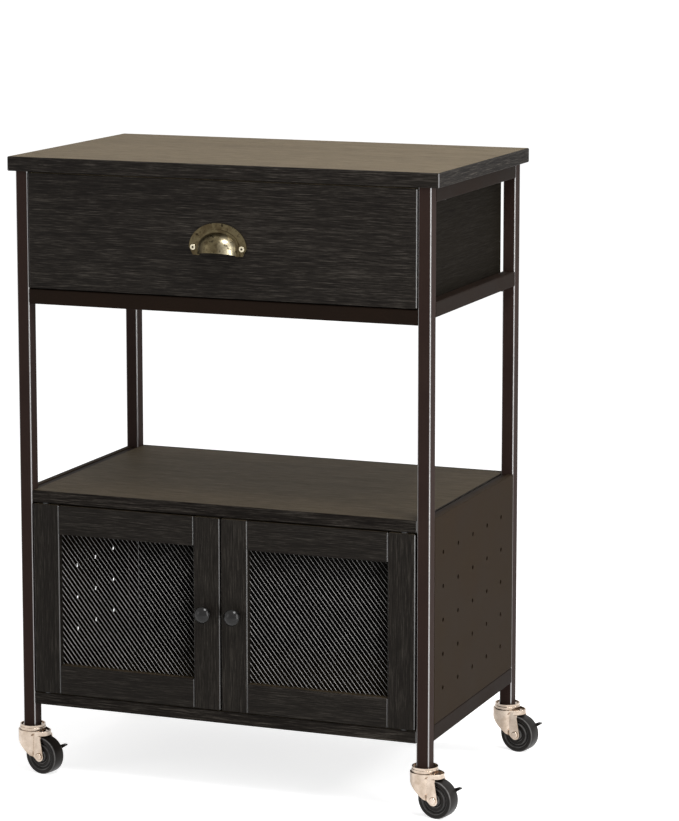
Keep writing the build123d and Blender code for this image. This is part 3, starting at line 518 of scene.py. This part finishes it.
def door_mesh(side):
    """Expanded metal: staggered diamonds whose strands lean, ending in the door's groove."""
    low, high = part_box(f"{side}_door_mesh")
    center = (low + high) / 2
    size = high - low
    bm = bmesh.new()
    count = 2 * int(max(size.x / MESH_PITCH_X, size.z / MESH_PITCH_Z)) + 4
    bmesh.ops.create_grid(bm, x_segments=count, y_segments=count, size=count / 2)
    turn(bm, 45, "Z")
    turn(bm, 90, "X")
    diagonal = math.sqrt(2)
    bmesh.ops.scale(bm, verts=bm.verts, vec=(MESH_PITCH_X / diagonal, 1, MESH_PITCH_Z / diagonal))
    far = [
        face for face in bm.faces
        if abs(face.calc_center_median().x) > size.x / 2 - MESH_MARGIN
        or abs(face.calc_center_median().z) > size.z / 2 - MESH_MARGIN
    ]
    bmesh.ops.delete(bm, geom=far, context="FACES")
    inset = bmesh.ops.inset_individual(bm, faces=bm.faces[:], thickness=STRAND / 2, use_even_offset=True)
    strands = set(inset["faces"])
    gaps = [face for face in bm.faces if face not in strands]
    lean = Matrix.Identity(4)
    lean[1][0] = -STRAND_LEAN / MESH_PITCH_X
    lean[1][2] = -STRAND_LEAN / MESH_PITCH_Z
    for gap in gaps:
        from_middle = Matrix.Translation(-gap.calc_center_median())
        bmesh.ops.transform(bm, matrix=lean, space=from_middle, verts=gap.verts)
    bmesh.ops.delete(bm, geom=gaps, context="FACES")
    bmesh.ops.translate(bm, verts=bm.verts, vec=center)
    made = piece(f"{side}_door_expanded_metal", bm, "mesh_paint", f"{side}_door", [f"{side}_door_mesh"])
    sheet = made.modifiers.new("sheet", "SOLIDIFY")
    sheet.thickness = STRAND_SHEET
    sheet.offset = 0.0


for side in ("left", "right"):
    door_mesh(side)


# Wheels with rounded ring ridges

WHEEL_BORE = 3.05 * MM
WHEEL_RADIUS = 25.0 * MM
WHEEL_HALF_WIDTH = 10.0 * MM
WHEEL_RIDGES = (7.0 * MM, 10.5 * MM, 14.6 * MM, 19.0 * MM)
RIDGE_SLOPE = 1.1 * MM
GROOVE_DEPTH = 3.0 * MM
MIDDLE_RING_SINK = 0.6 * MM
RIDGE_EASE = 0.7 * MM
SHOULDER_EASE = 2.3 * MM
WHEEL_STEPS = 72
SAME_PLACE = 0.01 * MM


def wheel_face():
    """Corners of the wheel's face from its bore to its tread, as radius and distance from the middle."""
    hub, ring_inner, ring_outer, rim = WHEEL_RIDGES
    floor_level = WHEEL_HALF_WIDTH - GROOVE_DEPTH
    ring_level = WHEEL_HALF_WIDTH - MIDDLE_RING_SINK
    return [
        (WHEEL_BORE, WHEEL_HALF_WIDTH),
        (hub, WHEEL_HALF_WIDTH),
        (hub + RIDGE_SLOPE, floor_level),
        (ring_inner - RIDGE_SLOPE, floor_level),
        (ring_inner, ring_level),
        (ring_outer, ring_level),
        (ring_outer + RIDGE_SLOPE, floor_level),
        (rim - RIDGE_SLOPE, floor_level),
        (rim, WHEEL_HALF_WIDTH),
        (WHEEL_RADIUS, WHEEL_HALF_WIDTH),
    ]


def circles(bm, radii):
    """Edges that run round the Y axis at the given radii."""
    found = []
    for edge in bm.edges:
        first, second = (Vector((vert.co.x, vert.co.z)).length for vert in edge.verts)
        level = abs(edge.verts[0].co.y - edge.verts[1].co.y) < SAME_PLACE
        round_axis = abs(first - second) < SAME_PLACE
        if level and round_axis and any(abs(first - radius) < SAME_PLACE for radius in radii):
            found.append(edge)
    return found


def ease(bm, edges, width):
    """Rounded edges."""
    bmesh.ops.bevel(bm, geom=edges, offset=width, offset_type="OFFSET", segments=4, profile=0.5,
                    affect="EDGES", material=-1)


def caster_wheel(corner):
    """Turned wheel with eased ridges, on the caster's axle."""
    node = f"{corner}_caster_wheel"
    low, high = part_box(node)
    near_face = wheel_face()
    far_face = [(radius, -width) for radius, width in reversed(near_face)]
    bm = bmesh.new()
    section = [bm.verts.new((radius, width, 0)) for radius, width in near_face + far_face]
    for first, second in zip(section, section[1:] + section[:1]):
        bm.edges.new((first, second))
    bmesh.ops.spin(bm, geom=bm.verts[:] + bm.edges[:], cent=(0, 0, 0), axis=(0, 1, 0), angle=2 * math.pi,
                   steps=WHEEL_STEPS, use_merge=True)
    bmesh.ops.remove_doubles(bm, verts=bm.verts, dist=0.001 * MM)
    bmesh.ops.recalc_face_normals(bm, faces=bm.faces)
    ease(bm, circles(bm, WHEEL_RIDGES), RIDGE_EASE)
    ease(bm, circles(bm, [WHEEL_RADIUS]), SHOULDER_EASE)
    turn(bm, TRAIL_ANGLE, "Z")
    bmesh.ops.translate(bm, verts=bm.verts, vec=(low + high) / 2)
    made = piece(f"{corner}_turned_wheel", bm, "wheel_black", f"{corner}_wheel", [node])
    smooth(made)


for corner in CORNERS:
    caster_wheel(corner)


# Stage, light and camera

FLOOR_REACH = 30.0
FLOOR_GLOW = 0.75
AMBIENT = 0.36


def seen_directly(tree):
    """One for what the eye sees straight, in a reflection or through glass, nought for other light."""
    path = add(tree, "ShaderNodeLightPath")
    seen = calc(tree, "MAXIMUM", path.outputs["Is Camera Ray"], path.outputs["Is Glossy Ray"])
    return calc(tree, "MAXIMUM", seen, path.outputs["Is Transmission Ray"])


def floor_material():
    """White floor that takes the cart's shadow."""
    material, tree = start_material("studio_floor")
    where = place(tree)
    cloud = noise(tree, where, 2.0, 3.0, 0.5)
    color = ramp(tree, cloud, [(0.3, (0.80, 0.80, 0.80)), (0.7, (0.84, 0.84, 0.84))])
    matt = add(tree, "ShaderNodeBsdfDiffuse", {"Color": color})
    strength = calc(tree, "MULTIPLY", seen_directly(tree), FLOOR_GLOW)
    glow = add(tree, "ShaderNodeEmission", {"Color": (1, 1, 1, 1), "Strength": strength})
    both = add(tree, "ShaderNodeAddShader", {0: matt.outputs[0], 1: glow.outputs[0]})
    output = add(tree, "ShaderNodeOutputMaterial")
    tree.links.new(both.outputs[0], output.inputs["Surface"])
    return material


def floor():
    """Wide plane under the wheels."""
    bm = bmesh.new()
    bmesh.ops.create_grid(bm, x_segments=2, y_segments=2, size=FLOOR_REACH)
    mesh = bpy.data.meshes.new("studio_floor")
    bm.to_mesh(mesh)
    bm.free()
    made = bpy.data.objects.new("studio_floor", mesh)
    bpy.context.scene.collection.objects.link(made)
    mesh.materials.append(floor_material())


def white_world(ambient):
    """White to the eye and to reflections, a plain level of light for the rest."""
    world = bpy.data.worlds.new("studio")
    bpy.context.scene.world = world
    world.use_nodes = True
    tree = world.node_tree
    tree.nodes.clear()
    strength = calc(tree, "MAXIMUM", seen_directly(tree), ambient)
    back = add(tree, "ShaderNodeBackground", {"Color": (1, 1, 1, 1), "Strength": strength})
    output = add(tree, "ShaderNodeOutputWorld")
    tree.links.new(back.outputs[0], output.inputs["Surface"])


def soft_light(name, where, target, width, height, power):
    """Rectangular soft light that faces a point."""
    light = bpy.data.lights.new(name, "AREA")
    light.shape = "RECTANGLE"
    light.size = width
    light.size_y = height
    light.energy = power
    made = bpy.data.objects.new(name, light)
    made.location = where
    made.rotation_euler = (Vector(target) - Vector(where)).to_track_quat("-Z", "Y").to_euler()
    bpy.context.scene.collection.objects.link(made)


IMAGE_HEIGHT = 821
FOCAL_PIXELS = 3267.08
PRINCIPAL_Y = 348.0
CAMERA_PLACE = (1.65600, -3.98815, 1.24268)
CAMERA_YAW = 0.3727
CAMERA_PITCH = -0.1552
SENSOR = 36.0


def camera():
    """Camera at the picture's viewing angle."""
    data = bpy.data.cameras.new("camera")
    data.sensor_width = SENSOR
    data.lens = SENSOR * FOCAL_PIXELS / IMAGE_HEIGHT
    data.shift_y = (PRINCIPAL_Y - IMAGE_HEIGHT / 2) / IMAGE_HEIGHT
    made = bpy.data.objects.new("camera", data)
    made.location = CAMERA_PLACE
    made.rotation_euler = (math.pi / 2 + CAMERA_PITCH, 0, CAMERA_YAW)
    bpy.context.scene.collection.objects.link(made)
    bpy.context.scene.camera = made


floor()
white_world(AMBIENT)
soft_light("right_panel", (1.31, -0.62, 0.62), target=(0, -0.05, 0.55), width=0.42, height=1.2, power=7)
soft_light("right_upper", (0.95, -0.85, 2.60), target=(0, 0, 0.50), width=0.8, height=0.8, power=34)
soft_light("right_back", (2.00, 0.55, 1.20), target=(0, 0, 0.40), width=0.3, height=0.3, power=10)
soft_light("top", (-0.1, 0.25, 2.1), target=(0, 0, 0.5), width=1.1, height=0.8, power=4)
soft_light("left_fill", (-2.2, -2.4, 1.2), target=(0, 0, 0.45), width=1.4, height=1.8, power=9)
camera()

scene = bpy.context.scene
scene.view_settings.view_transform = "Standard"
